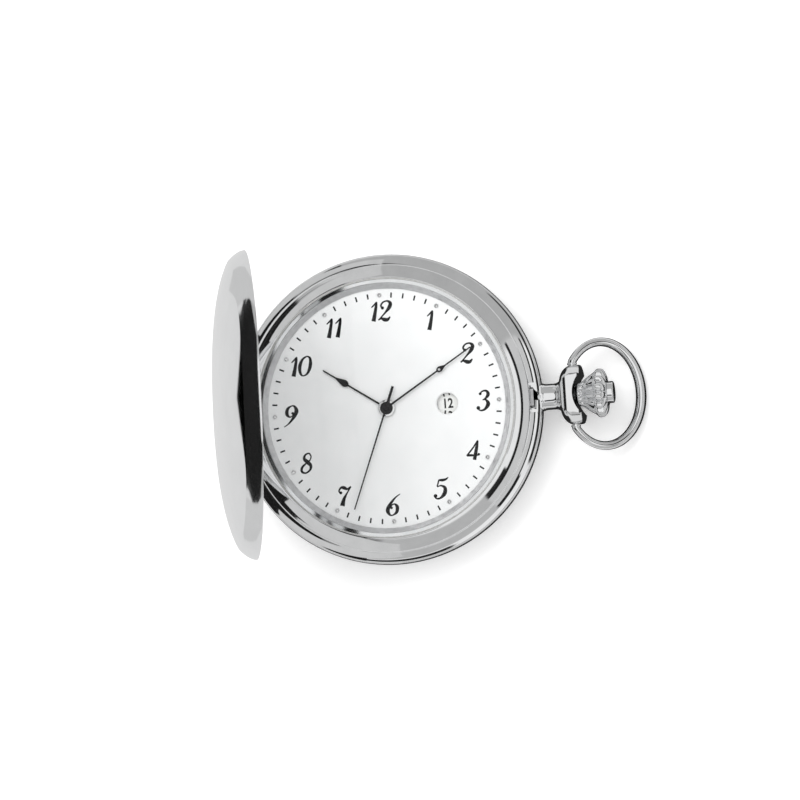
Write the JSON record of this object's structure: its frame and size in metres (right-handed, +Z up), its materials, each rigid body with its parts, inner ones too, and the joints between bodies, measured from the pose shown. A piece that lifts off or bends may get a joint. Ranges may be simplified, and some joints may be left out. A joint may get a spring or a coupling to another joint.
{
  "type": "full hunter pocket watch",
  "caption": "Full hunter pocket watch on its back with the sprung lid open: domed steel case, white dial with black hands and a date, fluted crown in a scooped pendant, swinging bow.",
  "frame": {"origin": "centre of the flat land on the back cover, on which the watch lies", "axes": "+Z up through the dial's centre, +X towards the crown at three o'clock, +Y towards twelve o'clock"},
  "size_m": [0.0657, 0.0483, 0.0524],
  "materials": {
    "polished_steel": "polished",
    "plain_steel": "fine turned",
    "spring_steel": "tempered",
    "screw_steel": "blued",
    "movement_brass": "turned",
    "glass": "clear",
    "dial_white": "satin",
    "dial_ring_silver": "satin",
    "hand_black": "satin",
    "seal": "matte",
    "clear_seal": "matte",
    "ring_plastic": "matte",
    "board": "lacquered",
    "chip": "matte",
    "copper": "enamelled wire",
    "core_iron": "plain",
    "date_white": "satin",
    "rotor_dark": "smooth"
  },
  "bodies": {
    "case": {"middle_case": "polished_steel", "bezel": "polished_steel", "crystal": "glass", "crystal_gasket": "clear_seal", "dial_ring": "dial_ring_silver", "dial": "dial_white", "hour_studs": "polished_steel", "back_cover": "polished_steel", "back_gasket": "seal", "case_knuckles": "polished_steel", "hinge_pin": "polished_steel", "spring_screws": "screw_steel", "pendant_neck": "polished_steel", "pendant_collar": "polished_steel", "movement_ring": "ring_plastic", "ring_screws": "screw_steel", "main_plate": "movement_brass", "train_bridge": "movement_brass", "bridge_screws": "screw_steel", "button_cell": "polished_steel", "cell_strap": "movement_brass", "circuit_board": "board", "quartz_can": "plain_steel", "time_chip": "chip", "coil": "copper", "coil_core": "core_iron", "stator": "core_iron", "date_plate": "plain_steel"},
    "lid": {"lid": "polished_steel", "lid_knuckle": "polished_steel", "lid_catch_lug": "polished_steel"},
    "lift_leaf": {"lift_spring": "spring_steel"},
    "lock_leaf": {"lock_spring": "spring_steel"},
    "bow": {"bow": "polished_steel"},
    "release_bush": {"release_bush": "plain_steel"},
    "stem_sleeve": {"stem_sleeve": "plain_steel"},
    "crown": {"crown": "polished_steel", "crown_cap": "polished_steel", "stem": "plain_steel"},
    "clutch": {"clutch_wheel": "plain_steel"},
    "setting_lever": {"setting_lever": "spring_steel"},
    "yoke": {"yoke": "spring_steel"},
    "setting_wheel": {"setting_wheel": "movement_brass"},
    "seconds": {"seconds_wheel": "movement_brass", "seconds_hand": "hand_black"},
    "third_wheel": {"third_wheel": "movement_brass"},
    "intermediate_wheel": {"intermediate_wheel": "movement_brass"},
    "rotor": {"rotor": "rotor_dark"},
    "minutes": {"centre_wheel": "movement_brass", "minute_hand": "hand_black"},
    "minute_wheel": {"minute_wheel": "movement_brass"},
    "hours": {"hour_wheel": "movement_brass", "hour_hand": "hand_black"},
    "date_wheel": {"date_wheel": "movement_brass"},
    "date_disc": {"date_disc": "date_white"},
    "date_jumper": {"date_jumper": "spring_steel"}
  },
  "joints": [
    {"name": "lid_hinge", "type": "hinge", "parent": "case", "child": "lid", "pos_m": [-0.02315, 0.00042, 0.00665], "axis": [0.0182, 0.9998, 0], "range_deg": [0, 76.2], "stiffness_Nm_per_rad": 0.01, "springref_deg": -20.05},
    {"name": "lift_spring_flex", "type": "hinge", "parent": "case", "child": "lift_leaf", "pos_m": [-0.01806, 0.01001, 0.00635], "axis": [-0.8746, 0.4848, 0], "range_deg": [-1.3, 0]},
    {"name": "crown_push", "type": "slide", "parent": "case", "child": "release_bush", "axis": [1, 0, 0], "range_m": [-0.0006, 0], "stiffness_N_per_m": 1000, "springref_m": 0.0003},
    {"name": "lock_spring_flex", "type": "hinge", "parent": "case", "child": "lock_leaf", "pos_m": [0.00969, -0.01823, 0.0053], "axis": [0, 0, 1], "range_deg": [0, 2]},
    {"name": "crown_pull", "type": "slide", "parent": "release_bush", "child": "stem_sleeve", "axis": [1, 0, 0], "range_m": [0, 0.001]},
    {"name": "crown_turn", "type": "hinge", "parent": "stem_sleeve", "child": "crown", "pos_m": [0, 0, 0.0052], "axis": [1, 0, 0], "continuous": true},
    {"name": "clutch_slide", "type": "slide", "parent": "crown", "child": "clutch", "axis": [1, 0, 0], "range_m": [-0.0018, 0]},
    {"name": "setting_lever_turn", "type": "hinge", "parent": "case", "child": "setting_lever", "pos_m": [0.011, 0.003, 0.0042], "axis": [0, 0, 1], "range_deg": [0, 19.2]},
    {"name": "yoke_turn", "type": "hinge", "parent": "case", "child": "yoke", "pos_m": [0.0086, 0.0036, 0.0042], "axis": [0, 0, 1], "range_deg": [-12.8, 0]},
    {"name": "bow_swing", "type": "hinge", "parent": "case", "child": "bow", "pos_m": [0.0289, 0, 0.0052], "axis": [0, 1, 0], "range_deg": [-143, 97]},
    {"name": "seconds_turn", "type": "hinge", "parent": "case", "child": "seconds", "pos_m": [0, 0, 0.0088], "axis": [0, 0, -1], "continuous": true},
    {"name": "minutes_turn", "type": "hinge", "parent": "case", "child": "minutes", "pos_m": [0, 0, 0.0086], "axis": [0, 0, -1], "continuous": true},
    {"name": "hours_turn", "type": "hinge", "parent": "case", "child": "hours", "pos_m": [0, 0, 0.0083], "axis": [0, 0, -1], "continuous": true},
    {"name": "third_wheel_turn", "type": "hinge", "parent": "case", "child": "third_wheel", "pos_m": [0.00155, -0.00268, 0.0051], "axis": [0, 0, -1], "continuous": true},
    {"name": "intermediate_turn", "type": "hinge", "parent": "case", "child": "intermediate_wheel", "pos_m": [-0.00158, 0.00273, 0.0043], "axis": [0, 0, -1], "continuous": true},
    {"name": "rotor_turn", "type": "hinge", "parent": "case", "child": "rotor", "pos_m": [-0.00107, 0.00556, 0.0045], "axis": [0, 0, -1], "continuous": true},
    {"name": "minute_wheel_turn", "type": "hinge", "parent": "case", "child": "minute_wheel", "pos_m": [0.00244, -0.00089, 0.0064], "axis": [0, 0, -1], "continuous": true},
    {"name": "setting_wheel_turn", "type": "hinge", "parent": "case", "child": "setting_wheel", "pos_m": [0.00567, -0.00049, 0.0064], "axis": [0, 0, -1], "continuous": true},
    {"name": "date_wheel_turn", "type": "hinge", "parent": "case", "child": "date_wheel", "pos_m": [-0.0011, 0.00411, 0.007], "axis": [0, 0, -1], "continuous": true},
    {"name": "date_disc_turn", "type": "hinge", "parent": "case", "child": "date_disc", "pos_m": [0, 0, 0.0072], "axis": [0, 0, -1], "continuous": true},
    {"name": "date_jumper_flex", "type": "hinge", "parent": "case", "child": "date_jumper", "pos_m": [-0.00085, -0.00554, 0.0072], "axis": [0, 0, 1], "range_deg": [-1.5, 0]}
  ],
  "couplings": [
    {"joint": "lift_spring_flex", "follows": "lid_hinge", "ratio": -0.0165},
    {"joint": "lock_spring_flex", "follows": "crown_push", "rad_per_m": -57},
    {"joint": "clutch_slide", "follows": "crown_pull", "ratio": -1.8},
    {"joint": "setting_lever_turn", "follows": "crown_pull", "rad_per_m": 333},
    {"joint": "yoke_turn", "follows": "crown_pull", "rad_per_m": -222},
    {"joint": "minutes_turn", "follows": "seconds_turn", "ratio": 0.016667},
    {"joint": "hours_turn", "follows": "seconds_turn", "ratio": 0.0013889},
    {"joint": "third_wheel_turn", "follows": "seconds_turn", "ratio": -0.13333},
    {"joint": "intermediate_turn", "follows": "seconds_turn", "ratio": -6},
    {"joint": "rotor_turn", "follows": "seconds_turn", "ratio": 30},
    {"joint": "minute_wheel_turn", "follows": "seconds_turn", "ratio": -0.0055556},
    {"joint": "setting_wheel_turn", "follows": "seconds_turn", "ratio": 0.0083333},
    {"joint": "date_wheel_turn", "follows": "seconds_turn", "ratio": -0.00069444}
  ]
}
